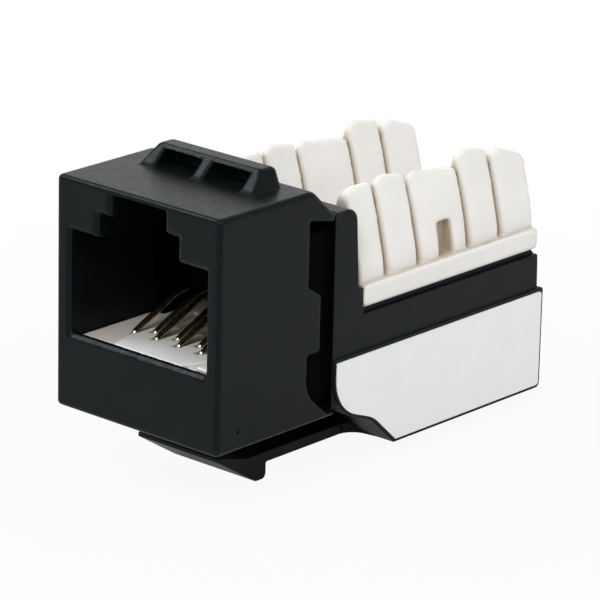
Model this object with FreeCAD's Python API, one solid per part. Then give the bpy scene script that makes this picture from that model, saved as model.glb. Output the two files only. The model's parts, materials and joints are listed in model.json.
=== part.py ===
import FreeCAD, Part
import math
import os

# Keystone jack with an eight-way plug port and a 110-style IDC block.
# Frame: X across the width, Y from the front face towards the rear, Z up.
# The origin is the middle of the front face's lower edge. Sizes are millimetres.

# Front box
BODY_WIDTH = 14.67
FRONT_HEIGHT = 16.15
ROOF_FLAT_END = 9.1
ROOF_SLOPE_END = 11.3
SHOULDER_HEIGHT = 14.12
BOX_FLOOR_END = 11.6
FRONT_WALL = 1.7
SILL_WALL = 0.6
FLOOR_WALL = 1.0
EDGE_RADIUS = 0.35
ROOF_BREAK_RADIUS = 0.6
SHOULDER_DROP = 0.5
FLOOR_HEEL = 0.3

# Plug port in the front face
PORT_WIDTH = 12.25
PORT_SILL = 5.3
PORT_TOP = 12.5
TAB_STEP_WIDTH = 7.1
TAB_STEP_TOP = 14.15
TAB_SLOT_WIDTH = 4.8
TAB_SLOT_TOP = 15.7
TAB_CAVITY_END = 8.4
PORT_BEVEL = 0.25
STEP_RADIUS = 0.25

# Openings in the sides of the front box, which show the neck of the rear tray
SIDE_EDGE = 8.7
TONGUE_END = 9.9
TONGUE_LOW = 4.9
TONGUE_HIGH = 8.9
TONGUE_SLANT = 0.75
POCKET_TOP_RISE = 0.05
POCKET_RADIUS = 0.25
POCKET_HEEL_Z = 2.2
POCKET_HEEL_RADIUS = 2.4
POCKET_TAIL = 2.2

# Fixed lug on the roof
LUG_FRONT = 5.5
LUG_REAR = 8.25
LUG_RISE = 1.35
LUG_HALF_BASE = 5.15
LUG_RIB = 0.9
LUG_END_RIB = 1.0
LUG_BAR_DEPTH = 1.3
LUG_END_LEAN = 0.55
LUG_BAR_WALL = 0.28
LUG_BACK_WALL = 0.45
LUG_SINK = 0.3
LUG_FRONT_RADIUS = 0.15
LUG_REAR_RADIUS = 0.3
LUG_END_RADIUS = 0.4

# Rear tray
TRAY_REAR = 33.7
TRAY_TOP_REAR = 33.15
TRAY_TOP = 6.8
RIM_DROP = 0.38
RIM_WIDTH = 0.35
TRAY_BOTTOM = -3.55
LEDGE_HEIGHT = 3.9
LEDGE_STEP = 0.18
TRAY_WALL = 1.45
BOTTOM_PLATE = 0.78
HOLLOW_STEP_Z = 1.6
HOLLOW_REAR_RADIUS = 0.5
CROSS_WALL_FRONT = 11.42
CROSS_WALL_REAR = 13.6
CROSS_WALL_LEAN = 0.35
CROSS_WALL_RADIUS = 1.0
WALL_EDGE_RADIUS = 0.3
UPPER_WALL_RADIUS = 0.7
TRAY_FOOT_RADIUS = 0.4
LEDGE_RADIUS = 0.2
UPPER_WALL_FOOT = 0.5
PLUG_ROOM_END = 12.2
PLUG_ROOM_DROP = 0.9
NECK_FRONT = 8.5
NECK_WALL = 0.5
FIT_GAP = 0.06
LEAD_WAY_WIDTH = 10.4
LEAD_WAY_ROOM = 0.2

# Front edge of the skirts: down, through a valley and over a crown to the lower tip
SKIRT_FRONT = 11.5
SKIRT_VALLEY_Z = 0.15
SKIRT_VALLEY_RADIUS = 3.2
SKIRT_CROWN_Y = 15.4
SKIRT_CROWN_Z = -1.3
SKIRT_CROWN_RADIUS = 3.2
SKIRT_TIP = 17.83

# Snap latch
LATCH_HALF_WIDTH = 3.7
LATCH_FRONT = 4.2
LATCH_THICKNESS = 0.75
LATCH_NOSE_TOP = -2.05
LATCH_NOSE_BOTTOM = -2.4
LATCH_BEND_Y = 6.9
LATCH_BEND_RADIUS = 1.5
LATCH_EDGE_RADIUS = 0.12
LATCH_HINGE_Y = 16.2
HOOK_REAR = 8.9
HOOK_DEPTH = 1.15
HOOK_TIP = 1.0
HOOK_TOE_RADIUS = 0.6
HOOK_TIP_RADIUS = 0.4
LATCH_ROOT_FLARE = 1.4
LATCH_ROOT_START = 0.35
LATCH_ROOT_FOOT = 0.15
LATCH_ROOT_END = 1.5
LATCH_ROOT_INSET = 0.05
HINGE_GAP = 0.03

# Contacts
CONTACT_COUNT = 8
CONTACT_PITCH = 1.02
WIRE = 0.42
FRONT_BEND_Y = 4.15
REAR_BEND_Y = 5.1
BEND_Z = 5.42
ARM_SLOPE_DEG = 24.0
ARM_LENGTH = 3.9
ARM_BEND_RADIUS = 2.0
TIP_SLOPE_DEG = 8.0
TIP_LENGTH = 1.1
LEAD_Z = 3.9
LEAD_NOSE_REACH = 0.36
LEAD_NOSE_DROP = 0.2
LEAD_NOSE_RADIUS = 0.28
LEAD_BEND_RADIUS = 0.6
LEAD_PIN_Y = 15.4
LEAD_ROW_STEP = 1.5

# Contact carrier: a slab with a middle tongue and a right-hand tongue raised on it
CARRIER_TOP = 5.02
MIDDLE_RAISE = 0.25
RIGHT_RAISE = 0.42
CARRIER_FRONT = 0.7
CARRIER_REAR = 12.9
CARRIER_NARROW = 10.3
CARRIER_SHOULDER = 8.1
CARRIER_SLOT = 0.62
CARRIER_SLOT_LEAD = 0.95
CARRIER_SLOT_END = 9.8
CARRIER_UNDERSIDE_GAP = 0.02
TONGUE_RADIUS = 0.3
MIDDLE_LEFT_FRONT = -2.75
MIDDLE_LEFT_REAR = -3.35
MIDDLE_LEFT_TURN = 2.5
MIDDLE_RIGHT_FRONT = 3.3
MIDDLE_RIGHT_REAR = 4.2
MIDDLE_REAR = 6.4
NOTCH_LEFT = -3.0
NOTCH_DEPTH = 0.5
RIGHT_LEFT = 4.5
RIGHT_FRONT = 0.85
RIGHT_REAR = 3.4

# Circuit board
BOARD_THICKNESS = 1.2
BOARD_SIDE_GAP = 0.2
BOARD_FRONT_GAP = 0.4
BOARD_FRONT_RADIUS = 0.4
BOARD_REAR_RADIUS = 0.6
PIN_HOLE = 0.75
PIN_HOLE_SIDES = 8

# IDC block
BLOCK_FRONT = 14.52
BLOCK_REAR_INSET = 0.02
BLOCK_SEAT_GAP = 0.03
FLANGE_RISE = 1.5
FLANGE_INSET = 0.02
FLANGE_WIDTH = 1.85
FLANGE_RADIUS = 0.2
BASE_INSET = 0.45
BLOCK_FLOOR = 1.1

# Posts of the IDC block, in two rows of pointed arches cut by slits
POST_INSET = 0.45
POST_HALF_WIDTH = 1.75
POST_SHOULDER_Z = 9.2
POST_WAIST_Z = 12.1
POST_WAIST = 1.02
POST_APEX_Z = 15.5
SADDLE_APEX_Z = 14.7
POST_SIDE_RADIUS = 6.0
POST_WAIST_RADIUS = 5.0
POST_CREST_RADIUS = 0.18
SADDLE_RIB = 0.75
SLITS = (17.4, 20.78, 26.06, 29.48)
SLIT_WIDTH = 0.36

# Rounded front of each post: how far it draws in, and over which length
NOSE_INSET = 0.45
NOSE_LENGTH = 0.8
NOSE_STEP = 0.3
NOSE_WAIST_PART = 0.85
NOSE_APEX_PART = 1.6

# Heights of the crests, front end and rear end of each post
FIRST_CREST = (14.6, 14.6)
HIGH_CREST = (15.05, 14.45)
LOW_CREST = (14.5, 13.85)
END_CREST = (14.6, 13.4)
LEAD_IN_RADIUS = 0.9
HEEL_RADIUS = 0.3
END_CROWN_RADIUS = 1.0

# Window in the outer face of the middle post
WINDOW_FRONT = 22.98
WINDOW_WIDTH = 1.45
WINDOW_HEIGHT = 2.4
WINDOW_DEPTH = 1.2

# IDC blades
BLADE_WIDTH = 2.3
BLADE_THICKNESS = 0.4
BLADE_TOP = 13.2
BLADE_GAP = 0.3
BLADE_MOUTH = 0.9
BLADE_MOUTH_DEPTH = 1.0
BLADE_FORK_Z = 9.3
BLADE_TAIL = 0.5
BLADE_TAIL_REACH = 0.4
BLADE_RADIUS = 0.3

# Label
LABEL_THICKNESS = 0.08
LABEL_BORDER = 0.25
LABEL_FRONT_BORDER = 0.16
LABEL_RADIUS = 0.25
LABEL_CURVE_PART = 0.7

# Derived values
HALF = BODY_WIDTH / 2
UPPER_HALF = HALF - LEDGE_STEP
BLOCK_BASE_Z = TRAY_TOP + BLOCK_SEAT_GAP
BLOCK_REAR = TRAY_TOP_REAR - BLOCK_REAR_INSET
FLANGE_HALF_WIDTH = UPPER_HALF - FLANGE_INSET
FLANGE_TOP = BLOCK_BASE_Z + FLANGE_RISE
POST_CENTRE_X = FLANGE_HALF_WIDTH - POST_INSET - POST_HALF_WIDTH
MIDDLE = FreeCAD.Vector(0, 0, 0)
OVERLAP = 0.01
TOUCH = 1e-6


def rounded_wire(corners, place):
    """Closed wire through corners (a, b) or (a, b, radius); place turns (a, b) into a point."""
    count = len(corners)
    starts = []
    ends = []
    arcs = []
    for index in range(count):
        a, b = corners[index][:2]
        radius = corners[index][2] if len(corners[index]) == 3 else 0
        here = FreeCAD.Vector(a, b, 0)
        before = FreeCAD.Vector(*corners[index - 1][:2], 0) - here
        after = FreeCAD.Vector(*corners[(index + 1) % count][:2], 0) - here
        before.normalize()
        after.normalize()
        if radius == 0:
            starts.append(here)
            ends.append(here)
            arcs.append(None)
            continue
        half_turn = before.getAngle(after) / 2
        reach = radius / math.tan(half_turn)
        bisector = before + after
        bisector.normalize()
        centre = here + bisector * (radius / math.sin(half_turn))
        starts.append(here + before * reach)
        ends.append(here + after * reach)
        arcs.append(centre - bisector * radius)
    edges = []
    for index in range(count):
        if arcs[index] is not None:
            points = (starts[index], arcs[index], ends[index])
            edges.append(Part.Arc(*[place(p.x, p.y) for p in points]).toShape())
        following = starts[(index + 1) % count]
        if ends[index].distanceToPoint(following) > TOUCH:
            line = Part.LineSegment(place(ends[index].x, ends[index].y), place(following.x, following.y))
            edges.append(line.toShape())
    return Part.Wire(edges)


def side_prism(corners, x0, x1):
    """Outline in the YZ plane, drawn out from x0 to x1."""
    wire = rounded_wire(corners, lambda a, b: FreeCAD.Vector(x0, a, b))
    return Part.Face(wire).extrude(FreeCAD.Vector(x1 - x0, 0, 0))


def front_prism(corners, y0, y1):
    """Outline in the XZ plane, drawn out from y0 to y1."""
    wire = rounded_wire(corners, lambda a, b: FreeCAD.Vector(a, y0, b))
    return Part.Face(wire).extrude(FreeCAD.Vector(0, y1 - y0, 0))


def plan_prism(corners, z0, z1):
    """Outline in the XY plane, drawn out from z0 to z1."""
    wire = rounded_wire(corners, lambda a, b: FreeCAD.Vector(a, b, z0))
    return Part.Face(wire).extrude(FreeCAD.Vector(0, 0, z1 - z0))


def block(x0, x1, y0, y1, z0, z1):
    return Part.makeBox(x1 - x0, y1 - y0, z1 - z0, FreeCAD.Vector(x0, y0, z0))


def round_pin(radius, x0, x1, y, z):
    """Cylinder along X."""
    return Part.makeCylinder(radius, x1 - x0, FreeCAD.Vector(x0, y, z), FreeCAD.Vector(1, 0, 0))


def mirrored(shape):
    """The shape and its mirror image across the middle plane, as one list."""
    return [shape, shape.mirror(MIDDLE, FreeCAD.Vector(1, 0, 0))]


def join(shapes):
    result = shapes[0]
    if len(shapes) > 1:
        result = result.multiFuse(shapes[1:])
    return result.removeSplitter()


def soften(shape, radius, wanted):
    """Fillet the edges that wanted(edge) picks."""
    edges = [edge for edge in shape.Edges if wanted(edge)]
    return shape.makeFillet(radius, edges)


def skirt_outline():
    """Front edge of the skirts and the tray: straight, hollow curve, crown, then the lower tip."""
    return [
        (SKIRT_FRONT, LEDGE_HEIGHT),
        (SKIRT_FRONT, SKIRT_VALLEY_Z, SKIRT_VALLEY_RADIUS),
        (SKIRT_CROWN_Y, SKIRT_CROWN_Z, SKIRT_CROWN_RADIUS),
        (SKIRT_TIP, TRAY_BOTTOM),
    ]


# Front housing

def front_side_outline():
    """Outline of the front box seen from the side, with the tongue between the side openings."""
    heel_y = SIDE_EDGE + POCKET_TAIL
    return [
        (0, 0),
        (0, FRONT_HEIGHT),
        (ROOF_FLAT_END, FRONT_HEIGHT, ROOF_BREAK_RADIUS),
        (ROOF_SLOPE_END, SHOULDER_HEIGHT),
        (ROOF_SLOPE_END, SHOULDER_HEIGHT - SHOULDER_DROP, POCKET_RADIUS),
        (SIDE_EDGE, SHOULDER_HEIGHT + POCKET_TOP_RISE, POCKET_RADIUS),
        (SIDE_EDGE, TONGUE_HIGH + TONGUE_SLANT, POCKET_RADIUS),
        (TONGUE_END, TONGUE_HIGH),
        (TONGUE_END, TONGUE_LOW),
        (SIDE_EDGE, TONGUE_LOW, POCKET_RADIUS),
        (SIDE_EDGE, POCKET_HEEL_Z, POCKET_HEEL_RADIUS),
        (heel_y, FLOOR_HEEL, POCKET_HEEL_RADIUS / 3),
        (BOX_FLOOR_END, FLOOR_HEEL),
        (BOX_FLOOR_END, 0),
    ]


def port_outline(grow):
    """Stepped outline of the plug port, widened all round by grow."""
    half = PORT_WIDTH / 2 + grow
    step = TAB_STEP_WIDTH / 2 + grow
    slot = TAB_SLOT_WIDTH / 2 + grow
    return [
        (-half, PORT_SILL - grow),
        (-half, PORT_TOP + grow),
        (-step, PORT_TOP + grow),
        (-step, TAB_STEP_TOP + grow, STEP_RADIUS),
        (-slot, TAB_STEP_TOP + grow),
        (-slot, TAB_SLOT_TOP + grow / 2, STEP_RADIUS),
        (slot, TAB_SLOT_TOP + grow / 2, STEP_RADIUS),
        (slot, TAB_STEP_TOP + grow),
        (step, TAB_STEP_TOP + grow, STEP_RADIUS),
        (step, PORT_TOP + grow),
        (half, PORT_TOP + grow),
        (half, PORT_SILL - grow),
    ]


def port_bevel():
    """Bevel round the mouth of the port, as a loft between two sizes of its outline."""
    outer = rounded_wire(port_outline(PORT_BEVEL), lambda a, b: FreeCAD.Vector(a, 0, b))
    inner = rounded_wire(port_outline(0), lambda a, b: FreeCAD.Vector(a, PORT_BEVEL, b))
    return Part.makeLoft([outer, inner], True, True)


def roof_lug():
    """Fixed lug: a sloped front with two windows, a middle rib and a top bar."""
    top = FRONT_HEIGHT + LUG_RISE
    foot = FRONT_HEIGHT - LUG_SINK
    lean = LUG_REAR - LUG_BAR_DEPTH - LUG_FRONT
    side = [
        (LUG_FRONT, foot),
        (LUG_FRONT, FRONT_HEIGHT),
        (LUG_FRONT + lean, top, LUG_FRONT_RADIUS),
        (LUG_REAR, top, LUG_REAR_RADIUS),
        (LUG_REAR, foot),
    ]
    ends = [
        (-LUG_HALF_BASE, foot),
        (-LUG_HALF_BASE, FRONT_HEIGHT),
        (-LUG_HALF_BASE + LUG_END_LEAN, top, LUG_END_RADIUS),
        (LUG_HALF_BASE - LUG_END_LEAN, top, LUG_END_RADIUS),
        (LUG_HALF_BASE, FRONT_HEIGHT),
        (LUG_HALF_BASE, foot),
    ]
    lug = side_prism(side, -LUG_HALF_BASE, LUG_HALF_BASE).common(front_prism(ends, 0, LUG_REAR + 1))
    hollow_top = top - LUG_BAR_WALL
    hollow_rear = LUG_REAR - LUG_BACK_WALL
    hollow_side = [
        (LUG_FRONT - 1, FRONT_HEIGHT),
        (LUG_FRONT - 1, hollow_top),
        (hollow_rear, hollow_top, LUG_FRONT_RADIUS),
        (hollow_rear, FRONT_HEIGHT),
    ]
    inner_end = LUG_HALF_BASE - LUG_END_LEAN / 2 - LUG_END_RIB
    window = side_prism(hollow_side, LUG_RIB / 2, inner_end)
    return lug.cut(Part.makeCompound(mirrored(window)))


def front_housing():
    shell = side_prism(front_side_outline(), -HALF, HALF)
    shell = soften(shell, EDGE_RADIUS, is_outer_edge)
    shell = shell.fuse(roof_lug())
    port = front_prism(port_outline(0), -1, FRONT_WALL + OVERLAP)
    half_port = PORT_WIDTH / 2
    plug_room = block(-half_port, half_port, FRONT_WALL, SIDE_EDGE, FLOOR_WALL, PORT_TOP)
    sill_room = block(-half_port, half_port, SILL_WALL, SIDE_EDGE, FLOOR_WALL, PORT_SILL + OVERLAP)
    tab_half = TAB_STEP_WIDTH / 2
    tab_room = block(-tab_half, tab_half, FRONT_WALL, TAB_CAVITY_END, PORT_TOP, TAB_SLOT_TOP)
    neck_half = half_port + NECK_WALL + FIT_GAP
    neck_top = PORT_TOP + NECK_WALL + FIT_GAP
    neck_start = NECK_FRONT - FIT_GAP
    neck_room = block(-neck_half, neck_half, neck_start, TRAY_REAR, FLOOR_WALL - FIT_GAP, neck_top)
    return shell.cut([port, port_bevel(), plug_room, sill_room, tab_room, neck_room])


def is_outer_edge(edge):
    """Edges of the box along its front face, its roof and its underside."""
    box = edge.BoundBox
    at_side = abs(abs(box.XMin) - HALF) < TOUCH and box.XLength < TOUCH
    front = box.YMax < TOUCH
    roof = box.ZMin > SHOULDER_HEIGHT - OVERLAP and at_side and box.YMin < ROOF_SLOPE_END - TOUCH
    under = box.ZMax < TOUCH and at_side
    return front or roof or under


# Rear tray

def tray_outline():
    """Outline of the lower tray from the side, up to the ledge."""
    rear = [
        (TRAY_REAR, TRAY_BOTTOM, TRAY_FOOT_RADIUS),
        (TRAY_REAR, LEDGE_HEIGHT, LEDGE_RADIUS),
    ]
    return skirt_outline() + rear


def upper_outline():
    """Outline of the cross wall and the upper tray wall from the side."""
    seat_y = BLOCK_FRONT - FIT_GAP
    return [
        (CROSS_WALL_FRONT, UPPER_WALL_FOOT),
        (CROSS_WALL_FRONT, SHOULDER_HEIGHT, WALL_EDGE_RADIUS),
        (CROSS_WALL_REAR, SHOULDER_HEIGHT, CROSS_WALL_RADIUS),
        (CROSS_WALL_REAR + CROSS_WALL_LEAN, FLANGE_TOP),
        (seat_y, FLANGE_TOP, LEDGE_RADIUS),
        (seat_y, TRAY_TOP),
        (TRAY_TOP_REAR, TRAY_TOP, UPPER_WALL_RADIUS),
        (TRAY_TOP_REAR + LEDGE_STEP, UPPER_WALL_FOOT),
    ]


def tray_hollow():
    """Room under the board, kept at the wall thickness from the outline."""
    inner = HALF - TRAY_WALL
    roof = TRAY_TOP + 1
    floor = TRAY_BOTTOM + BOTTOM_PLATE
    rear = TRAY_TOP_REAR - TRAY_WALL
    side = [
        (CROSS_WALL_REAR, roof),
        (CROSS_WALL_REAR, HOLLOW_STEP_Z),
        (SKIRT_CROWN_Y + BOTTOM_PLATE, SKIRT_CROWN_Z + TRAY_WALL, HOLLOW_REAR_RADIUS),
        (SKIRT_TIP + TRAY_WALL, floor),
        (rear, floor, HOLLOW_REAR_RADIUS),
        (rear, roof),
    ]
    return side_prism(side, -inner, inner)


def latch_root():
    """Plate that carries the latch, flared out to the skirts."""
    top = TRAY_BOTTOM + LATCH_THICKNESS
    wide = HALF - LATCH_ROOT_INSET
    start = SKIRT_TIP - LATCH_ROOT_START
    foot = SKIRT_TIP + LATCH_ROOT_FOOT
    rear = SKIRT_TIP + LATCH_ROOT_END
    plan = [
        (-LATCH_HALF_WIDTH, LATCH_HINGE_Y),
        (LATCH_HALF_WIDTH, LATCH_HINGE_Y),
        (LATCH_HALF_WIDTH, start, LATCH_ROOT_FLARE),
        (wide, foot),
        (wide, rear),
        (-wide, rear),
        (-wide, foot),
        (-LATCH_HALF_WIDTH, start, LATCH_ROOT_FLARE),
    ]
    plate = plan_prism(plan, TRAY_BOTTOM, top)
    socket = round_pin(LATCH_THICKNESS / 2 + HINGE_GAP, -HALF, HALF, LATCH_HINGE_Y, hinge_z())
    return plate.cut(socket)


def hinge_z():
    return TRAY_BOTTOM + LATCH_THICKNESS / 2


def neck():
    """Frame that plugs into the rear of the front box and closes the plug room."""
    half = PORT_WIDTH / 2 + NECK_WALL
    rear = (CROSS_WALL_FRONT + CROSS_WALL_REAR) / 2
    return block(-half, half, NECK_FRONT, rear, FLOOR_WALL, PORT_TOP + NECK_WALL)


def rear_housing():
    lower = side_prism(tray_outline(), -HALF, HALF)
    upper = side_prism(upper_outline(), -UPPER_HALF, UPPER_HALF)
    body = join([lower, upper, neck(), latch_root()])
    rim = block(UPPER_HALF - RIM_WIDTH, HALF, BLOCK_FRONT, TRAY_REAR, TRAY_TOP - RIM_DROP, FLANGE_TOP)
    half_port = PORT_WIDTH / 2
    half_way = LEAD_WAY_WIDTH / 2
    start = NECK_FRONT - 1
    way_end = CROSS_WALL_REAR + 1
    plug_floor = CARRIER_TOP - PLUG_ROOM_DROP
    way_floor = LEAD_Z - WIRE / 2 - LEAD_WAY_ROOM
    plug_end = block(-half_port, half_port, start, PLUG_ROOM_END, plug_floor, PORT_TOP)
    lead_way = block(-half_way, half_way, start, way_end, way_floor, CARRIER_TOP + LEAD_WAY_ROOM)
    return body.cut([plug_end, lead_way, tray_hollow()] + mirrored(rim)).removeSplitter()


# Latch

def flex_latch():
    """Arm with a raised nose and a ramped hook; its rear end is round about the bending line."""
    top = TRAY_BOTTOM + LATCH_THICKNESS
    tip = TRAY_BOTTOM - HOOK_DEPTH
    profile = [
        (LATCH_FRONT, LATCH_NOSE_TOP, LATCH_EDGE_RADIUS),
        (LATCH_FRONT, LATCH_NOSE_BOTTOM, LATCH_EDGE_RADIUS),
        (HOOK_REAR - HOOK_TIP, tip, HOOK_TOE_RADIUS),
        (HOOK_REAR, tip, HOOK_TIP_RADIUS),
        (HOOK_REAR, TRAY_BOTTOM, LATCH_EDGE_RADIUS),
        (LATCH_HINGE_Y, TRAY_BOTTOM),
        (LATCH_HINGE_Y, top),
        (LATCH_BEND_Y, top, LATCH_BEND_RADIUS),
    ]
    arm = side_prism(profile, -LATCH_HALF_WIDTH, LATCH_HALF_WIDTH)
    end = round_pin(LATCH_THICKNESS / 2, -LATCH_HALF_WIDTH, LATCH_HALF_WIDTH, LATCH_HINGE_Y, hinge_z())
    return join([arm, end])


# Contacts

def contact_x(number):
    return (number - (CONTACT_COUNT + 1) / 2) * CONTACT_PITCH


def bend_y(number):
    return FRONT_BEND_Y if number % 2 else REAR_BEND_Y


def strip(points, x):
    """Bent strip of square wire along YZ points (y, z, inner bend radius)."""
    half = WIRE / 2
    left = []
    right = []
    last = len(points) - 1
    for index, point in enumerate(points):
        here = FreeCAD.Vector(point[0], point[1], 0)
        before = here - FreeCAD.Vector(*points[max(index - 1, 0)][:2], 0)
        after = FreeCAD.Vector(*points[min(index + 1, last)][:2], 0) - here
        if index == 0:
            before = after
        if index == last:
            after = before
        before.normalize()
        after.normalize()
        turn = before.cross(after).z
        normal = FreeCAD.Vector(-(before.y + after.y), before.x + after.x, 0)
        normal.normalize()
        reach = half / math.cos(before.getAngle(after) / 2)
        radius = point[2] if len(point) == 3 else 0
        inner = radius - half if radius else 0
        outer = radius + half if radius else 0
        left.append(corner(here + normal * reach, inner if turn > 0 else outer))
        right.append(corner(here - normal * reach, outer if turn > 0 else inner))
    return side_prism(left + right[::-1], x - half, x + half)


def corner(point, radius):
    """Outline corner at a point, rounded where the radius isn't zero."""
    return (point.x, point.y, radius) if radius else (point.x, point.y)


def contact_arm(number):
    """Sprung arm of a contact wire, round at the bend that it turns about."""
    y = bend_y(number)
    x = contact_x(number)
    slope = math.radians(ARM_SLOPE_DEG)
    tip_slope = math.radians(TIP_SLOPE_DEG)
    knee_y = y + ARM_LENGTH * math.cos(slope)
    knee_z = BEND_Z + ARM_LENGTH * math.sin(slope)
    tip = (knee_y + TIP_LENGTH * math.cos(tip_slope), knee_z + TIP_LENGTH * math.sin(tip_slope))
    arm = strip([(y, BEND_Z), (knee_y, knee_z, ARM_BEND_RADIUS), tip], x)
    end = round_pin(WIRE / 2, x - WIRE / 2, x + WIRE / 2, y, BEND_Z)
    return join([arm, end])


def contact_lead(number):
    """Fixed half of a contact wire: hairpin below the bend, run to the rear, pin up into the board."""
    y = bend_y(number)
    x = contact_x(number)
    pin_y = LEAD_PIN_Y + (LEAD_ROW_STEP if number % 2 else 0)
    slope = math.radians(ARM_SLOPE_DEG)
    gap = WIRE / 2 + HINGE_GAP
    start = (y - gap * math.cos(slope), BEND_Z - gap * math.sin(slope))
    nose_y = start[0] - LEAD_NOSE_REACH
    nose_z = start[1] - LEAD_NOSE_DROP
    path = [
        start,
        (nose_y, nose_z, LEAD_NOSE_RADIUS),
        (nose_y, LEAD_Z, LEAD_NOSE_RADIUS),
        (pin_y, LEAD_Z, LEAD_BEND_RADIUS),
        (pin_y, board_top()),
    ]
    return strip(path, x)


# Carrier, board and block

def contact_carrier():
    """Floor of the port: a slab with a slot for each contact and two raised tongues."""
    half = PORT_WIDTH / 2 - FIT_GAP
    narrow = CARRIER_NARROW / 2
    under = LEAD_Z + WIRE / 2 + CARRIER_UNDERSIDE_GAP
    notch_y = CARRIER_FRONT + NOTCH_DEPTH
    slab = plan_prism([
        (-half, CARRIER_FRONT, TONGUE_RADIUS),
        (NOTCH_LEFT, CARRIER_FRONT, TONGUE_RADIUS),
        (NOTCH_LEFT, notch_y),
        (RIGHT_LEFT, notch_y),
        (RIGHT_LEFT, RIGHT_FRONT),
        (half, RIGHT_FRONT),
        (half, CARRIER_SHOULDER),
        (narrow, CARRIER_SHOULDER),
        (narrow, CARRIER_REAR),
        (-narrow, CARRIER_REAR),
        (-narrow, CARRIER_SHOULDER),
        (-half, CARRIER_SHOULDER),
    ], under, CARRIER_TOP)
    middle = plan_prism([
        (MIDDLE_LEFT_FRONT, CARRIER_FRONT, TONGUE_RADIUS),
        (MIDDLE_RIGHT_FRONT, CARRIER_FRONT, TONGUE_RADIUS),
        (MIDDLE_RIGHT_REAR, MIDDLE_LEFT_TURN, TONGUE_RADIUS),
        (MIDDLE_RIGHT_REAR, MIDDLE_REAR),
        (MIDDLE_LEFT_REAR, MIDDLE_REAR),
        (MIDDLE_LEFT_REAR, MIDDLE_LEFT_TURN, TONGUE_RADIUS),
    ], under, CARRIER_TOP + MIDDLE_RAISE)
    right = plan_prism([
        (RIGHT_LEFT, RIGHT_FRONT, TONGUE_RADIUS),
        (half, RIGHT_FRONT, TONGUE_RADIUS),
        (half, RIGHT_REAR),
        (RIGHT_LEFT, RIGHT_REAR),
    ], under, CARRIER_TOP + RIGHT_RAISE)
    slots = []
    for number in range(1, CONTACT_COUNT + 1):
        x0 = contact_x(number) - CARRIER_SLOT / 2
        front = bend_y(number) - CARRIER_SLOT_LEAD
        slots.append(block(x0, x0 + CARRIER_SLOT, front, CARRIER_SLOT_END, 0, FRONT_HEIGHT))
    return join([slab, middle, right]).cut(slots)


def board_top():
    return BLOCK_BASE_Z - FIT_GAP


def pin_places():
    """Centres of all holes in the board: contact pins in front, blade tails below the slits."""
    places = []
    for number in range(1, CONTACT_COUNT + 1):
        pin_y = LEAD_PIN_Y + (LEAD_ROW_STEP if number % 2 else 0)
        places.append((contact_x(number), pin_y))
    for slit in SLITS:
        places.append((POST_CENTRE_X, slit))
        places.append((-POST_CENTRE_X, slit))
    return places


def circuit_board():
    half = HALF - TRAY_WALL - BOARD_SIDE_GAP
    front = CROSS_WALL_REAR + BOARD_FRONT_GAP
    rear = TRAY_TOP_REAR - TRAY_WALL - FIT_GAP
    top = board_top()
    board = plan_prism([
        (-half, front, BOARD_FRONT_RADIUS),
        (half, front, BOARD_FRONT_RADIUS),
        (half, rear, BOARD_REAR_RADIUS),
        (-half, rear, BOARD_REAR_RADIUS),
    ], top - BOARD_THICKNESS, top)
    holes = [pin_hole(x, y, top) for x, y in pin_places()]
    return board.cut(holes)


def pin_hole(x, y, top):
    """Many-sided hole, cut right through the board."""
    turn = 2 * math.pi / PIN_HOLE_SIDES
    corners = []
    for index in range(PIN_HOLE_SIDES):
        angle = (index + 0.5) * turn
        corners.append((x + PIN_HOLE / 2 * math.cos(angle), y + PIN_HOLE / 2 * math.sin(angle)))
    return plan_prism(corners, top - BOARD_THICKNESS - 1, top + 1)


def arch_outline(inset, apex_z):
    """Pointed arch of a post row seen along the row, drawn in by inset."""
    half = POST_HALF_WIDTH - inset
    waist = POST_WAIST - inset * NOSE_WAIST_PART
    return [
        (POST_CENTRE_X - half, BLOCK_BASE_Z),
        (POST_CENTRE_X - half, POST_SHOULDER_Z, POST_SIDE_RADIUS),
        (POST_CENTRE_X - waist, POST_WAIST_Z, POST_WAIST_RADIUS),
        (POST_CENTRE_X, apex_z - inset * NOSE_APEX_PART, POST_CREST_RADIUS),
        (POST_CENTRE_X + waist, POST_WAIST_Z, POST_WAIST_RADIUS),
        (POST_CENTRE_X + half, POST_SHOULDER_Z, POST_SIDE_RADIUS),
        (POST_CENTRE_X + half, BLOCK_BASE_Z),
    ]


def post_nose(front, apex_z):
    """Rounded front of a post, lofted through three arches of growing size."""
    middle_inset = NOSE_INSET * (1 - math.sqrt(1 - (1 - NOSE_STEP) ** 2))
    sections = []
    for part, inset in ((0, NOSE_INSET), (NOSE_STEP, middle_inset), (1, 0)):
        y = front + part * NOSE_LENGTH
        sections.append(rounded_wire(arch_outline(inset, apex_z), lambda a, b, y=y: FreeCAD.Vector(a, y, b)))
    return Part.makeLoft(sections, True, True)


def post_top(front, rear, crest, front_radius, rear_radius):
    """Side outline of a post whose top falls from crest[0] in front to crest[1] at the rear."""
    return [
        (front, BLOCK_BASE_Z),
        (front, crest[0], front_radius),
        (rear, crest[1], rear_radius),
        (rear, BLOCK_BASE_Z),
    ]


def post_window():
    """Pocket in the outer face of the middle post."""
    outer = POST_CENTRE_X + POST_HALF_WIDTH
    rear = WINDOW_FRONT + WINDOW_WIDTH
    return block(outer - WINDOW_DEPTH, outer + 1, WINDOW_FRONT, rear, FLANGE_TOP, FLANGE_TOP + WINDOW_HEIGHT)


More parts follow.
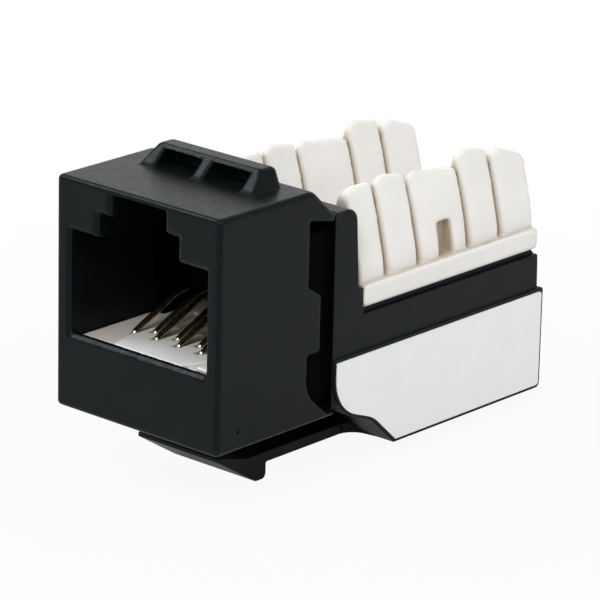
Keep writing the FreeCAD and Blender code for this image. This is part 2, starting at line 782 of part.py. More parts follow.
def post_row():
    """One row of five posts on the +X side, from the front to the rear."""
    starts = [BLOCK_FRONT] + [slit + SLIT_WIDTH / 2 for slit in SLITS]
    ends = [slit - SLIT_WIDTH / 2 for slit in SLITS] + [BLOCK_REAR]
    crests = (FIRST_CREST, HIGH_CREST, LOW_CREST, HIGH_CREST, END_CREST)
    middle = len(crests) // 2
    last = len(crests) - 1
    posts = []
    for index, crest in enumerate(crests):
        front = starts[index]
        rear = ends[index]
        apex_z = SADDLE_APEX_Z if index == middle else POST_APEX_Z
        parts = []
        if index == 0:
            parts.append(front_prism(arch_outline(0, apex_z), front, rear))
        else:
            parts.append(post_nose(front, apex_z))
            parts.append(front_prism(arch_outline(0, apex_z), front + NOSE_LENGTH, rear))
        if index == middle:
            parts.append(front_prism(arch_outline(0, POST_APEX_Z), rear - SADDLE_RIB, rear))
        rear_radius = END_CROWN_RADIUS if index == last else HEEL_RADIUS
        crown = side_prism(post_top(front, rear, crest, LEAD_IN_RADIUS, rear_radius), 0, HALF)
        posts.append(join(parts).common(crown))
    posts[middle] = posts[middle].cut(post_window())
    return posts


def blade_pocket(slit):
    """Room for a blade across its slit."""
    half = BLADE_WIDTH / 2 + FIT_GAP / 2
    thick = BLADE_THICKNESS / 2 + FIT_GAP / 2
    return block(
        POST_CENTRE_X - thick,
        POST_CENTRE_X + thick,
        slit - half,
        slit + half,
        BLOCK_BASE_Z - 1,
        BLADE_TOP + FIT_GAP,
    )


def idc_block():
    base_half = FLANGE_HALF_WIDTH - BASE_INSET
    base = block(-base_half, base_half, BLOCK_FRONT, BLOCK_REAR, BLOCK_BASE_Z, BLOCK_BASE_Z + BLOCK_FLOOR)
    inner = FLANGE_HALF_WIDTH - FLANGE_WIDTH
    flange = block(inner, FLANGE_HALF_WIDTH, BLOCK_FRONT, BLOCK_REAR, BLOCK_BASE_Z, FLANGE_TOP)
    flange = soften(flange, FLANGE_RADIUS, is_flange_edge)
    body = join([base] + mirrored(flange))
    cuts = []
    for post in post_row():
        body = body.fuse(mirrored(post))
    for slit in SLITS:
        cuts += mirrored(blade_pocket(slit))
    return body.cut(cuts).removeSplitter()


def is_flange_edge(edge):
    """Edges of the flange's outer face."""
    return edge.BoundBox.XMin > FLANGE_HALF_WIDTH - TOUCH


def idc_blade(side, slit):
    """Forked blade across a slit, with a tail through the board."""
    half = BLADE_WIDTH / 2
    gap = BLADE_GAP / 2
    mouth = BLADE_MOUTH / 2
    tail = BLADE_TAIL / 2
    seat = BLOCK_BASE_Z
    tail_end = board_top() - BOARD_THICKNESS - BLADE_TAIL_REACH
    throat = BLADE_TOP - BLADE_MOUTH_DEPTH
    outline = [
        (slit - tail, tail_end),
        (slit + tail, tail_end),
        (slit + tail, seat),
        (slit + half, seat),
        (slit + half, BLADE_TOP, BLADE_RADIUS),
        (slit + mouth, BLADE_TOP),
        (slit + gap, throat),
        (slit + gap, BLADE_FORK_Z),
        (slit - gap, BLADE_FORK_Z),
        (slit - gap, throat),
        (slit - mouth, BLADE_TOP),
        (slit - half, BLADE_TOP, BLADE_RADIUS),
        (slit - half, seat),
        (slit - tail, seat),
    ]
    x = side * POST_CENTRE_X
    return side_prism(outline, x - BLADE_THICKNESS / 2, x + BLADE_THICKNESS / 2)


def side_label():
    """Label on the right-hand skirt, inset from the skirt's outline."""
    front = SKIRT_FRONT + LABEL_FRONT_BORDER
    low = TRAY_BOTTOM + LABEL_BORDER
    high = LEDGE_HEIGHT - LABEL_BORDER
    rear = TRAY_REAR - LABEL_BORDER
    rise = LABEL_BORDER * LABEL_CURVE_PART
    outline = [
        (front, high),
        (front, SKIRT_VALLEY_Z + rise, SKIRT_VALLEY_RADIUS - LABEL_FRONT_BORDER),
        (SKIRT_CROWN_Y + rise, SKIRT_CROWN_Z + rise, SKIRT_CROWN_RADIUS + LABEL_BORDER),
        (SKIRT_TIP + rise / 2, low),
        (rear, low, LABEL_RADIUS),
        (rear, high, LABEL_RADIUS),
    ]
    return side_prism(outline, HALF, HALF + LABEL_THICKNESS)


def save(name, shape):
    if not shape.isValid():
        print("not valid:", name)
    solids = shape.Solids
    if len(solids) != 1:
        print("solids in", name, len(solids))
    shape.exportStep(f"parts/{name}.step")
    print(name, round(shape.Volume, 3))


def main():
    os.makedirs("parts", exist_ok=True)
    save("front_housing", front_housing())
    save("rear_housing", rear_housing())
    save("flex_latch", flex_latch())
    save("contact_carrier", contact_carrier())
    save("circuit_board", circuit_board())
    save("idc_block", idc_block())
    save("side_label", side_label())
    for number in range(1, CONTACT_COUNT + 1):
        save(f"contact_{number}", contact_arm(number))
        save(f"contact_lead_{number}", contact_lead(number))
    blade = 0
    for side in (-1, 1):
        for slit in SLITS:
            blade += 1
            save(f"idc_blade_{blade}", idc_blade(side, slit))


main()
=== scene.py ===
import json
import math

import bmesh
import bpy
from mathutils import Matrix, Vector


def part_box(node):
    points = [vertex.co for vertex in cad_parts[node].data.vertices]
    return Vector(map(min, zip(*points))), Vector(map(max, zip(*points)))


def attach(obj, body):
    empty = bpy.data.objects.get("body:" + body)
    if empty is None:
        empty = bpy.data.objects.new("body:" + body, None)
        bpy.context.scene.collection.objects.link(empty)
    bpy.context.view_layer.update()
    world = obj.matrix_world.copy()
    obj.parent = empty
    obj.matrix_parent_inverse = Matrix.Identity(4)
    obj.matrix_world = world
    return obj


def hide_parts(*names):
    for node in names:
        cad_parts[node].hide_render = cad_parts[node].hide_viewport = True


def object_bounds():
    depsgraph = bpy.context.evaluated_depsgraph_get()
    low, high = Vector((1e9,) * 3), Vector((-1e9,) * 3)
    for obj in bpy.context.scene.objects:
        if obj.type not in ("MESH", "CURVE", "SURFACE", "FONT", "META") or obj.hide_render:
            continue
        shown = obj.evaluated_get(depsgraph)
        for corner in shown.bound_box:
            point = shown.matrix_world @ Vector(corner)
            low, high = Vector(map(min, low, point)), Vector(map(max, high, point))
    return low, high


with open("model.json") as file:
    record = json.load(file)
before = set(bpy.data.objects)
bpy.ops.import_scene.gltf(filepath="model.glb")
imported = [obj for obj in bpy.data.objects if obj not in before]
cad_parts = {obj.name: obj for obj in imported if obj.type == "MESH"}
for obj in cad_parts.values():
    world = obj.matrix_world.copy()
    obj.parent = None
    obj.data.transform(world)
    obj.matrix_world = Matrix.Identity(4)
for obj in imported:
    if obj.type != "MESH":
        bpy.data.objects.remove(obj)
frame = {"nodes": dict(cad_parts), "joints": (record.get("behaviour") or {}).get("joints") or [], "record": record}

CAD_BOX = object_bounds()
MM = 0.001

# Camera: direction and roll of the view, distance and lens
VIEW_AZIMUTH = math.radians(41.32)
VIEW_ELEVATION = math.radians(18.06)
VIEW_ROLL = math.radians(1.30)
VIEW_DISTANCE = 277 * MM
VIEW_TARGET = Vector((0.085, 16, 8)) * MM
LENS_LENGTH = 244.4
LENS_SHIFT_Y = -0.0613
SENSOR_WIDTH = 36
NEAREST = 0.01
FARTHEST = 10

# Light: strength all round, and for each lamp the way to it from the middle of the object,
# the side of its square in metres and its power in watts
WORLD_LIGHT = 0.69
LAMP_DISTANCE = 0.45
LAMPS = {
    "key_light": ((-0.63, -0.31, 0.71), 0.13, 0.56),
    "front_light": ((0.32, -0.62, 0.72), 0.12, 0.58),
    "side_light": ((0.75, -0.25, 0.60), 0.20, 0.36),
    "back_light": ((-0.63, 0.71, 0.31), 0.20, 0.075),
}

# Floor: part of its colour that is plain white, from beside the object out to the fade's end,
# as it is seen directly and as glossy and clear pieces mirror it
FLOOR_SIZE = 1.2
FLOOR_PAINT = (0.62, 0.62, 0.62, 1)
FLOOR_WHITE = 0.93
FLOOR_FADE_START = 26 * MM
FLOOR_FADE_END = 60 * MM
MIRROR_WHITE = 0.3
MIRROR_FADE_START = 12 * MM
MIRROR_FADE_END = 27 * MM

# Front of the cross wall, up to which the rear housing lies inside the front box, and the
# length over which the shade fades there
SHADE_END = 11.46 * MM
SHADE_FADE = 0.04 * MM
SHADE_PART = 0.92

# Top of the contact carrier's slab, under its raised tongues, and the height over which the
# slab's warmer tint fades
SLAB_TOP = 5.06 * MM
SLAB_FADE = 0.12 * MM
SLAB_TINT_PART = 0.75

# Shading detail
NOISE_ROUGHNESS = 0.55
BEVEL_SAMPLES = 6
CREVICE_SAMPLES = 8
WEAVE_SCALE = 900.0

# Contact wires: slopes, bend radii, the drop of the nose, and the thickness of the lead's
# start as a part of the whole, so that it stays inside the sprung arm
WIRE_SIDES = 20
BEND_STEP_DEG = 7
FEWEST_BEND_STEPS = 3
DOME_STEPS_DEG = (72, 54, 36, 18)
ARM_SLOPE = math.radians(24)
TIP_SLOPE = math.radians(8)
ARM_BEND = 2.0 * MM
NOSE_DROP = 0.3 * MM
NOSE_BEND = 0.28 * MM
PIN_BEND = 0.6 * MM
ROOT_PART = 0.98

# Broken edges: their width, the angle from which an edge is broken or shown sharp, and what
# makes a face a band round an opening
EDGED = ("rear_housing", "flex_latch")
EDGE_WIDTH = 0.05 * MM
EDGE_SEGMENTS = 2
EDGE_ANGLE = math.radians(28)
SHARP_ANGLE = math.radians(40)
FLAT_ANGLE = math.radians(0.8)
SAME_POINT = MM / 1000
BANDED = ("rear_housing",)
BAND_PART = 0.55
BAND_CORNERS = 6
BAND_TURNS = 12

# Rounded skins: longest edge of their triangles, rounds of smoothing and most faces
HOUSING_GRAIN = 0.24 * MM
HOUSING_PASSES = 2
BLOCK_GRAIN = 0.26 * MM
BLOCK_PASSES = 5
CARRIER_GRAIN = 0.10 * MM
CARRIER_PASSES = 4
SMOOTHING = 0.5
MOST_HALVINGS = 9
SKIN_FACES = 170000


# Materials

class Shader:
    """One material's node tree, with short ways to add nodes and join them."""

    def __init__(self, name):
        self.material = bpy.data.materials.new(name)
        self.material.use_nodes = True
        self.tree = self.material.node_tree
        self.tree.nodes.clear()

    def add(self, kind, inputs, **settings):
        node = self.tree.nodes.new(kind)
        for key, value in settings.items():
            setattr(node, key, value)
        for key, value in inputs.items():
            if isinstance(value, bpy.types.NodeSocket):
                self.tree.links.new(value, node.inputs[key])
            else:
                node.inputs[key].default_value = value
        return node

    def place(self):
        return self.add("ShaderNodeTexCoord", {}).outputs["Object"]

    def noise(self, size, detail=3.0, stretch=None):
        """Noise whose blotches are about size metres across, 0 to 1."""
        vector = self.place()
        if stretch:
            stretched = self.add("ShaderNodeMapping", {"Vector": vector, "Scale": stretch})
            vector = stretched.outputs["Vector"]
        inputs = {
            "Vector": vector,
            "Scale": 1 / size,
            "Detail": detail,
            "Roughness": NOISE_ROUGHNESS,
        }
        return self.add("ShaderNodeTexNoise", inputs).outputs["Fac"]

    def spread(self, value, low, high, start=0.3, end=0.7):
        """Value between start and end, turned into low to high."""
        inputs = {
            "Value": value,
            "From Min": start,
            "From Max": end,
            "To Min": low,
            "To Max": high,
        }
        return self.add("ShaderNodeMapRange", inputs).outputs["Result"]

    def blend(self, factor, a, b):
        """Colour a where factor is 0 and colour b where it is 1."""
        node = self.add("ShaderNodeMix", {"Factor": factor}, data_type="RGBA")
        for socket, value in ((node.inputs[6], a), (node.inputs[7], b)):
            if isinstance(value, bpy.types.NodeSocket):
                self.tree.links.new(value, socket)
            else:
                socket.default_value = (*value, 1)
        return node.outputs[2]

    def round_edges(self, radius):
        """Normal that turns smoothly across sharp edges."""
        bevel = self.add("ShaderNodeBevel", {"Radius": radius}, samples=BEVEL_SAMPLES)
        return bevel.outputs["Normal"]

    def edge_mask(self, radius, low, high):
        """1 along sharp edges and 0 on flat faces."""
        soft = self.round_edges(radius)
        flat = self.add("ShaderNodeNewGeometry", {}).outputs["Normal"]
        dot = self.add("ShaderNodeVectorMath", {0: soft, 1: flat}, operation="DOT_PRODUCT")
        return self.spread(dot.outputs["Value"], 1, 0, start=low, end=high)

    def crevice(self, distance, start, end):
        """1 deep in corners and recesses, 0 in the open."""
        inputs = {"Distance": distance}
        node = self.add("ShaderNodeAmbientOcclusion", inputs, samples=CREVICE_SAMPLES)
        return self.spread(node.outputs["AO"], 1, 0, start=start, end=end)

    def bump(self, height, distance, strength, normal):
        inputs = {
            "Height": height,
            "Distance": distance,
            "Strength": strength,
            "Normal": normal,
        }
        return self.add("ShaderNodeBump", inputs).outputs["Normal"]

    def finish(self, surface):
        self.add("ShaderNodeOutputMaterial", {"Surface": surface.outputs[0]})
        return self.material


def black_plastic(shade_end=0.0):
    """Black ABS: fine satin grain, faint flow marks, edges a little lighter, partly as wear and partly as a
    painted highlight along them.

    With shade_end, what lies in front of that place is in the shade of the front box.
    """
    s = Shader("black_moulding")
    flow = s.noise(2.4 * MM, detail=4)
    colour = s.blend(s.spread(flow, 0, 1), (0.0024, 0.0036, 0.0042), (0.0042, 0.0056, 0.0062))
    # Lighter edges: partly rubbed wear, partly a painted highlight for the edges catching the light.
    rubbed_edge_and_highlight = s.edge_mask(0.10 * MM, 0.80, 0.99)
    patch = s.spread(s.noise(0.7 * MM), 0.25, 1)
    wear_and_highlight = s.add("ShaderNodeMath", {0: rubbed_edge_and_highlight, 1: patch}, operation="MULTIPLY").outputs[0]
    colour = s.blend(wear_and_highlight, colour, (0.020, 0.022, 0.023))
    rough = s.spread(s.noise(0.45 * MM), 0.28, 0.38)
    grain = s.noise(0.085 * MM, detail=2)
    normal = s.bump(grain, 0.012 * MM, 0.3, s.round_edges(0.07 * MM))
    normal = s.bump(flow, 0.06 * MM, 0.12, normal)
    surface = s.add("ShaderNodeBsdfPrincipled", {
        "Base Color": colour,
        "Roughness": rough,
        "Normal": normal,
        "Specular IOR Level": 0.12,
        "Specular Tint": (0.84, 0.95, 1.0, 1),
    })
    if shade_end:
        depth = s.add("ShaderNodeSeparateXYZ", {"Vector": s.place()}).outputs["Y"]
        shade = s.spread(depth, SHADE_PART, 0, start=shade_end - SHADE_FADE, end=shade_end)
        dark = s.add("ShaderNodeBsdfDiffuse", {"Color": (0.0015, 0.0017, 0.002, 1)})
        inputs = {0: shade, 1: surface.outputs[0], 2: dark.outputs[0]}
        surface = s.add("ShaderNodeMixShader", inputs)
    return s.finish(surface)


def white_plastic():
    """Ivory polycarbonate of the IDC block: slightly see-through, with painted warm shade in its recesses."""
    s = Shader("ivory_moulding")
    flow = s.noise(3.0 * MM, detail=4)
    colour = s.blend(s.spread(flow, 0, 1), (0.815, 0.80, 0.77), (0.855, 0.842, 0.815))
    # Painted shade: where the AO node finds recesses and slits, the colour turns a darker warm tan.
    painted_recess_shade = s.crevice(2.2 * MM, 0.35, 0.94)
    colour = s.blend(painted_recess_shade, colour, (0.45, 0.36, 0.26))
    rough = s.spread(s.noise(0.5 * MM), 0.34, 0.46)
    grain = s.noise(0.12 * MM, detail=2)
    normal = s.bump(grain, 0.010 * MM, 0.25, s.round_edges(0.42 * MM))
    surface = s.add("ShaderNodeBsdfPrincipled", {
        "Base Color": colour,
        "Roughness": rough,
        "Normal": normal,
        "Subsurface Weight": 0.25,
        "Subsurface Radius": (1.0, 0.75, 0.55),
        "Subsurface Scale": 0.45 * MM,
        "Specular IOR Level": 0.42,
    })
    return s.finish(surface)


def natural_plastic():
    """Unfilled nylon of the contact carrier: milky, a little blotched, glossy, with painted shade darkening its
    corners and recesses.
    """
    s = Shader("natural_moulding")
    cloud = s.noise(1.6 * MM, detail=4)
    colour = s.blend(s.spread(cloud, 0, 1), (0.85, 0.845, 0.83), (0.90, 0.905, 0.91))
    height = s.add("ShaderNodeSeparateXYZ", {"Vector": s.place()}).outputs["Z"]
    slab = s.spread(height, SLAB_TINT_PART, 0, start=SLAB_TOP, end=SLAB_TOP + SLAB_FADE)
    colour = s.blend(slab, colour, (0.80, 0.735, 0.645))
    # Painted shade: where the AO node finds corners and recesses, the colour turns a darker grey.
    painted_recess_shade = s.crevice(0.8 * MM, 0.2, 0.8)
    colour = s.blend(painted_recess_shade, colour, (0.36, 0.33, 0.29))
    rough = s.spread(s.noise(0.4 * MM), 0.28, 0.42)
    grain = s.noise(0.1 * MM, detail=2)
    normal = s.bump(grain, 0.012 * MM, 0.3, s.round_edges(0.08 * MM))
    surface = s.add("ShaderNodeBsdfPrincipled", {
        "Base Color": colour,
        "Roughness": rough,
        "Normal": normal,
        "Subsurface Weight": 0.2,
        "Subsurface Radius": (1.0, 0.95, 0.9),
        "Subsurface Scale": 0.4 * MM,
        "Coat Weight": 0.2,
        "Coat Roughness": 0.2,
    })
    return s.finish(surface)


def gold_plate():
    """Gold over nickel on drawn wire: bright, with faint draw marks along it."""
    s = Shader("gold_wire")
    tint = s.noise(0.5 * MM)
    colour = s.blend(s.spread(tint, 0, 1), (0.62, 0.50, 0.30), (0.76, 0.64, 0.43))
    marks = s.noise(0.05 * MM, detail=2, stretch=(1.0, 0.08, 0.5))
    rough = s.spread(marks, 0.14, 0.26)
    normal = s.bump(marks, 0.004 * MM, 0.3, s.round_edges(0.03 * MM))
    surface = s.add("ShaderNodeBsdfPrincipled", {
        "Base Color": colour,
        "Metallic": 1.0,
        "Roughness": rough,
        "Normal": normal,
    })
    return s.finish(surface)


def tinned_blade():
    """Matte tin over phosphor bronze."""
    s = Shader("tinned_sheet")
    cloud = s.noise(0.35 * MM, detail=5)
    colour = s.blend(s.spread(cloud, 0, 1), (0.58, 0.57, 0.55), (0.74, 0.735, 0.72))
    rough = s.spread(cloud, 0.30, 0.46)
    normal = s.bump(s.noise(0.05 * MM), 0.004 * MM, 0.3, s.round_edges(0.04 * MM))
    surface = s.add("ShaderNodeBsdfPrincipled", {
        "Base Color": colour,
        "Metallic": 1.0,
        "Roughness": rough,
        "Normal": normal,
    })
    return s.finish(surface)


def board_laminate():
    """Green solder mask over glass weave, paler at the sawn edges."""
    s = Shader("solder_mask")
    cloud = s.noise(1.2 * MM, detail=4)
    colour = s.blend(s.spread(cloud, 0, 1), (0.018, 0.10, 0.045), (0.028, 0.14, 0.065))
    sawn = s.edge_mask(0.15 * MM, 0.7, 0.98)
    colour = s.blend(sawn, colour, (0.30, 0.31, 0.17))
    inputs = {"Vector": s.place(), "Scale": WEAVE_SCALE, "Distortion": 0.6}
    weave = s.add("ShaderNodeTexWave", inputs).outputs["Fac"]
    normal = s.bump(weave, 0.006 * MM, 0.25, s.round_edges(0.08 * MM))
    surface = s.add("ShaderNodeBsdfPrincipled", {
        "Base Color": colour,
        "Roughness": s.spread(cloud, 0.26, 0.4),
        "Normal": normal,
    })
    return s.finish(surface)


def label_paper():
    """White coated paper label: faint fibres and a slightly greyer cut edge."""
    s = Shader("label_stock")
    cloud = s.noise(2.0 * MM, detail=5)
    colour = s.blend(s.spread(cloud, 0, 1), (0.85, 0.855, 0.865), (0.88, 0.883, 0.89))
    cut = s.edge_mask(0.06 * MM, 0.7, 0.98)
    colour = s.blend(cut, colour, (0.70, 0.705, 0.71))
    fibre = s.noise(0.16 * MM, detail=4, stretch=(1.0, 0.35, 1.0))
    normal = s.bump(fibre, 0.006 * MM, 0.25, s.round_edges(0.03 * MM))
    surface = s.add("ShaderNodeBsdfPrincipled", {
        "Base Color": colour,
        "Roughness": s.spread(fibre, 0.42, 0.55),
        "Normal": normal,
        "Specular IOR Level": 0.35,
    })
    return s.finish(surface)


MATERIALS = {
    "black_plastic": black_plastic(),
    "white_plastic": white_plastic(),
    "natural_plastic": natural_plastic(),
    "gold_plate": gold_plate(),
    "tinned_blade": tinned_blade(),
    "board_laminate": board_laminate(),
    "label_paper": label_paper(),
}
NODE_MATERIALS = {"rear_housing": black_plastic(shade_end=SHADE_END)}


def slot_of(node):
    for part in frame["record"]["subparts"]:
        if part["node"] == node:
            return part["material_slot"]


def material_of(node):
    return NODE_MATERIALS.get(node, MATERIALS[slot_of(node)])


def body_of(node):
    for body, nodes in frame["record"]["behaviour"]["bodies"].items():
        if node in nodes:
            return body


def dress_nodes():
    """Gives every carried-over CAD node the material of its slot."""
    for name, thing in frame["nodes"].items():
        material = material_of(name)
        for index in range(len(thing.data.materials)):
            thing.data.materials[index] = material


# Pieces

def add_piece(name, mesh, node):
    """A piece in place of a CAD node, on the node's body, with the material of its slot."""
    mesh.materials.clear()
    mesh.materials.append(material_of(node))
    piece = bpy.data.objects.new(name, mesh)
    bpy.context.scene.collection.objects.link(piece)
    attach(piece, body_of(node))
    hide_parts(node)
    return piece


def goes_round(face):
    """Whether a face runs as a thin band round an opening."""
    across = face.normal.orthogonal().normalized()
    smallest = math.inf
    for step in range(BAND_TURNS):
        turn = math.pi * step / (2 * BAND_TURNS)
        u = Matrix.Rotation(turn, 3, face.normal) @ across
        v = face.normal.cross(u)
        us = [vert.co.dot(u) for vert in face.verts]
        vs = [vert.co.dot(v) for vert in face.verts]
        smallest = min(smallest, (max(us) - min(us)) * (max(vs) - min(vs)))
    return len(face.verts) > BAND_CORNERS and face.calc_area() < BAND_PART * smallest


def flat_faced(node):
    """A copy of the node's mesh, and its shape with one face for each flat side."""
    mesh = frame["nodes"][node].data.copy()
    work = bmesh.new()
    work.from_mesh(mesh)
    bmesh.ops.remove_doubles(work, verts=work.verts, dist=SAME_POINT)
    bmesh.ops.dissolve_limit(work, angle_limit=FLAT_ANGLE, verts=work.verts, edges=work.edges)
    return mesh, work


def eased(node):
    """The moulded piece with its sharp edges broken."""
    mesh, work = flat_faced(node)
    if node in BANDED:
        bands = [face for face in work.faces if goes_round(face)]
        bmesh.ops.triangulate(work, faces=bands)
    whole = [edge for edge in work.edges if edge.is_manifold]
    sharp = [edge for edge in whole if edge.calc_face_angle() > EDGE_ANGLE]
    bmesh.ops.bevel(
        work,
        geom=sharp,
        offset=EDGE_WIDTH,
        offset_type="OFFSET",
        segments=EDGE_SEGMENTS,
        profile=0.5,
        affect="EDGES",
        clamp_overlap=False,
        loop_slide=True,
    )
    work.to_mesh(mesh)
    work.free()
    mesh.name = node + "_eased"
    mesh.shade_smooth()
    mesh.set_sharp_from_angle(angle=SHARP_ANGLE)
    piece = add_piece(node + "_moulding", mesh, node)
    normals = piece.modifiers.new("flat_face_normals", "WEIGHTED_NORMAL")
    normals.keep_sharp = True


def rounded(node, grain, passes):
    """The moulded piece with its edges rounded off.

    Its faces are split into small triangles and smoothed. The skin is then thinned to about
    SKIN_FACES triangles.
    """
    mesh, work = flat_faced(node)
    bmesh.ops.triangulate(work, faces=work.faces)
    for halving in range(MOST_HALVINGS):
        coarse = [edge for edge in work.edges if edge.calc_length() > grain]
        if not coarse:
            break
        bmesh.ops.subdivide_edges(work, edges=coarse, cuts=1)
        many_sided = [face for face in work.faces if len(face.verts) > 3]
        bmesh.ops.triangulate(work, faces=many_sided)
    for step in range(passes):
        bmesh.ops.smooth_vert(
            work,
            verts=work.verts,
            factor=SMOOTHING,
            use_axis_x=True,
            use_axis_y=True,
            use_axis_z=True,
        )
    work.to_mesh(mesh)
    work.free()
    mesh.name = node + "_rounded"
    mesh.shade_smooth()
    piece = add_piece(node + "_moulding", mesh, node)
    thinning = piece.modifiers.new("thinning", "DECIMATE")
    thinning.ratio = min(1.0, SKIN_FACES / len(mesh.polygons))


def softened(node, grain, passes):
    """The moulded piece with its edges rounded all over, from an even grid of faces."""
    mesh = frame["nodes"][node].data.copy()
    mesh.name = node + "_soft"
    piece = add_piece(node + "_moulding", mesh, node)
    skin = piece.modifiers.new("skin", "REMESH")
    skin.mode = "VOXEL"
    skin.voxel_size = grain
    skin.use_smooth_shade = True
    rounding = piece.modifiers.new("rounding", "SMOOTH")
    rounding.factor = SMOOTHING
    rounding.iterations = passes


def centre_line(corners):
    """Points along straight runs through (y, z, bend radius) corners, joined by arcs."""
    line = [Vector(corners[0][:2])]
    for index in range(1, len(corners) - 1):
        here = Vector(corners[index][:2])
        back = (Vector(corners[index - 1][:2]) - here).normalized()
        ahead = (Vector(corners[index + 1][:2]) - here).normalized()
        half = back.angle(ahead) / 2
        radius = corners[index][2]
        middle = (back + ahead).normalized()
        centre = here + middle * (radius / math.sin(half))
        start = here + back * (radius / math.tan(half)) - centre
        turn = math.pi - 2 * half
        sense = 1 if start.x * ahead.y - start.y * ahead.x > 0 else -1
        steps = max(FEWEST_BEND_STEPS, round(math.degrees(turn) / BEND_STEP_DEG))
        for step in range(steps + 1):
            angle = sense * turn * step / steps
            line.append(centre + Matrix.Rotation(angle, 2) @ start)
    line.append(Vector(corners[-1][:2]))
    return line


def wire_mesh(name, x, corners, radius, start_part=1.0):
    """Round wire along a centre line in the plane at x, with domed ends.

    The start has start_part of the full thickness, so that it can sit inside another wire.
    """
    line = centre_line(corners)
    work = bmesh.new()

    def ring(point, normal, size):
        made = []
        for side in range(WIRE_SIDES):
            angle = 2 * math.pi * side / WIRE_SIDES
            across = math.cos(angle) * size
            along = normal * (math.sin(angle) * size)
            made.append(work.verts.new((x + across, point.x + along.x, point.y + along.y)))
        return made

    def heading(index):
        before = line[max(index - 1, 0)]
        after = line[min(index + 1, len(line) - 1)]
        return (after - before).normalized()

    def side_of(way):
        return Vector((-way.y, way.x))

    rings = []
    dome = [math.radians(degrees) for degrees in DOME_STEPS_DEG]
    first = heading(0)
    last = heading(len(line) - 1)
    thin = radius * start_part
    for angle in dome:
        point = line[0] - first * thin * math.sin(angle)
        rings.append(ring(point, side_of(first), thin * math.cos(angle)))
    rings.append(ring(line[0], side_of(first), thin))
    for index in range(1, len(line)):
        rings.append(ring(line[index], side_of(heading(index)), radius))
    for angle in reversed(dome):
        point = line[-1] + last * radius * math.sin(angle)
        rings.append(ring(point, side_of(last), radius * math.cos(angle)))
    for lower, upper in zip(rings, rings[1:]):
        for side in range(WIRE_SIDES):
            following = (side + 1) % WIRE_SIDES
            work.faces.new((lower[side], lower[following], upper[following], upper[side]))
    work.faces.new(rings[0][::-1])
    work.faces.new(rings[-1])
    bmesh.ops.recalc_face_normals(work, faces=work.faces)
    mesh = bpy.data.meshes.new(name)
    work.to_mesh(mesh)
    work.free()
    mesh.shade_smooth()
    return mesh


def contact_wires(joint):
    """Sprung arm and fixed lead of one contact, as one round wire bent at the joint."""
    number = joint["name"].rsplit("_", 1)[1]
    arm_node = "contact_" + number
    lead_node = "contact_lead_" + number
    pivot = Vector(joint["pos_m"])
    low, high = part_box(arm_node)
    radius = (high.x - low.x) / 2
    reach_y = high.y - pivot.y - radius * math.sin(TIP_SLOPE)
    reach_z = high.z - pivot.z - radius * math.cos(TIP_SLOPE)
    spread = math.sin(ARM_SLOPE - TIP_SLOPE)
    arm = (reach_z * math.cos(TIP_SLOPE) - reach_y * math.sin(TIP_SLOPE)) / spread
    knee = (pivot.y + arm * math.cos(ARM_SLOPE), pivot.z + arm * math.sin(ARM_SLOPE), ARM_BEND)
    tip = (high.y - radius, high.z - radius * math.cos(TIP_SLOPE) - radius * math.sin(TIP_SLOPE))
    corners = [(pivot.y, pivot.z), knee, tip]
    spring = wire_mesh(arm_node + "_round", pivot.x, corners, radius)
    add_piece("spring_wire_" + number, spring, arm_node)

    low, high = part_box(lead_node)
    foot_z = low.z + radius
    pin_y = high.y - radius
    nose_y = low.y + radius
    corners = [
        (pivot.y, pivot.z),
        (nose_y, pivot.z - NOSE_DROP, NOSE_BEND),
        (nose_y, foot_z, NOSE_BEND),
        (pin_y, foot_z, PIN_BEND),
        (pin_y, high.z - radius),
    ]
    lead = wire_mesh(lead_node + "_round", pivot.x, corners, radius, start_part=ROOT_PART)
    add_piece("lead_wire_" + number, lead, lead_node)


# Surroundings

def plain_floor():
    """Pale floor just under the object, which fades into the white background."""
    level = CAD_BOX[0].z
    half = FLOOR_SIZE / 2
    mesh = bpy.data.meshes.new("floor")
    mesh.from_pydata(
        [(-half, -half, level), (half, -half, level), (half, half, level), (-half, half, level)],
        [],
        [(0, 1, 2, 3)],
    )
    floor = bpy.data.objects.new("floor", mesh)
    bpy.context.scene.collection.objects.link(floor)
    s = Shader("floor_paint")
    centre = (CAD_BOX[0] + CAD_BOX[1]) / 2
    inputs = {0: s.place(), 1: (centre.x, centre.y, level)}
    offset = s.add("ShaderNodeVectorMath", inputs, operation="SUBTRACT").outputs[0]
    away = s.add("ShaderNodeVectorMath", {0: offset}, operation="LENGTH").outputs["Value"]
    direct = s.spread(away, FLOOR_WHITE, 1, start=FLOOR_FADE_START, end=FLOOR_FADE_END)
    mirrored = s.spread(away, MIRROR_WHITE, 1, start=MIRROR_FADE_START, end=MIRROR_FADE_END)
    seen = s.add("ShaderNodeLightPath", {})
    whites = {
        "Is Camera Ray": direct,
        "Is Glossy Ray": mirrored,
        "Is Transmission Ray": mirrored,
    }
    factor = None
    for ray, white_part in whites.items():
        inputs = {0: seen.outputs[ray], 1: white_part}
        part = s.add("ShaderNodeMath", inputs, operation="MULTIPLY").outputs[0]
        if factor is not None:
            inputs = {0: factor, 1: part}
            part = s.add("ShaderNodeMath", inputs, operation="MAXIMUM").outputs[0]
        factor = part
    paint = s.add("ShaderNodeBsdfDiffuse", {"Color": FLOOR_PAINT})
    white = s.add("ShaderNodeEmission", {"Color": (1, 1, 1, 1), "Strength": 1.0})
    mixed = s.add("ShaderNodeMixShader", {0: factor, 1: paint.outputs[0], 2: white.outputs[0]})
    clear = s.add("ShaderNodeBsdfTransparent", {})
    below = s.add("ShaderNodeNewGeometry", {}).outputs["Backfacing"]
    both = s.add("ShaderNodeMixShader", {0: below, 1: mixed.outputs[0], 2: clear.outputs[0]})
    mesh.materials.append(s.finish(both))


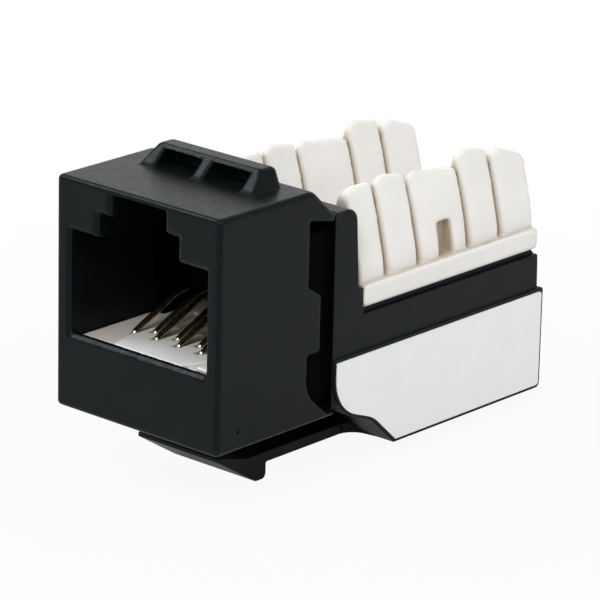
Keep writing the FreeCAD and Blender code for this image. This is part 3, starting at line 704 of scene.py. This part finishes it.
def white_world():
    """Soft light from all round, and white behind the object."""
    world = bpy.data.worlds.new("studio")
    world.use_nodes = True
    tree = world.node_tree
    tree.nodes.clear()
    path = tree.nodes.new("ShaderNodeLightPath")
    light = tree.nodes.new("ShaderNodeBackground")
    light.inputs["Color"].default_value = (1, 1, 1, 1)
    light.inputs["Strength"].default_value = WORLD_LIGHT
    white = tree.nodes.new("ShaderNodeBackground")
    white.inputs["Color"].default_value = (1, 1, 1, 1)
    white.inputs["Strength"].default_value = 1.0
    mix = tree.nodes.new("ShaderNodeMixShader")
    out = tree.nodes.new("ShaderNodeOutputWorld")
    tree.links.new(path.outputs["Is Camera Ray"], mix.inputs[0])
    tree.links.new(light.outputs[0], mix.inputs[1])
    tree.links.new(white.outputs[0], mix.inputs[2])
    tree.links.new(mix.outputs[0], out.inputs["Surface"])
    bpy.context.scene.world = world


def soft_box(name, direction, size, watts):
    """Square lamp that points at the middle of the object."""
    middle = (CAD_BOX[0] + CAD_BOX[1]) / 2
    lamp = bpy.data.lights.new(name, "AREA")
    lamp.shape = "SQUARE"
    lamp.size = size
    lamp.energy = watts
    holder = bpy.data.objects.new(name, lamp)
    away = Vector(direction).normalized()
    holder.location = middle + away * LAMP_DISTANCE
    holder.rotation_mode = "QUATERNION"
    holder.rotation_quaternion = away.to_track_quat("Z", "Y")
    bpy.context.scene.collection.objects.link(holder)


def camera():
    """Camera at the chosen direction, distance and roll."""
    flat = math.cos(VIEW_ELEVATION)
    back = Vector((
        math.sin(VIEW_AZIMUTH) * flat,
        -math.cos(VIEW_AZIMUTH) * flat,
        math.sin(VIEW_ELEVATION),
    ))
    right = Vector((math.cos(VIEW_AZIMUTH), math.sin(VIEW_AZIMUTH), 0))
    up = back.cross(right)
    rolled_right = math.cos(VIEW_ROLL) * right + math.sin(VIEW_ROLL) * up
    rolled_up = math.cos(VIEW_ROLL) * up - math.sin(VIEW_ROLL) * right
    data = bpy.data.cameras.new("camera")
    data.lens = LENS_LENGTH
    data.sensor_width = SENSOR_WIDTH
    data.shift_y = LENS_SHIFT_Y
    data.clip_start = NEAREST
    data.clip_end = FARTHEST
    holder = bpy.data.objects.new("camera", data)
    turn = Matrix((rolled_right, rolled_up, back)).transposed()
    holder.matrix_world = Matrix.Translation(VIEW_TARGET + back * VIEW_DISTANCE) @ turn.to_4x4()
    bpy.context.scene.collection.objects.link(holder)
    bpy.context.scene.camera = holder


dress_nodes()
for node in EDGED:
    eased(node)
rounded("front_housing", HOUSING_GRAIN, HOUSING_PASSES)
rounded("idc_block", BLOCK_GRAIN, BLOCK_PASSES)
softened("contact_carrier", CARRIER_GRAIN, CARRIER_PASSES)
for joint in frame["joints"]:
    if joint["name"].startswith("contact_flex"):
        contact_wires(joint)

plain_floor()
white_world()
for name, (direction, size, watts) in LAMPS.items():
    soft_box(name, direction, size, watts)
camera()
bpy.context.scene.view_settings.view_transform = "Standard"
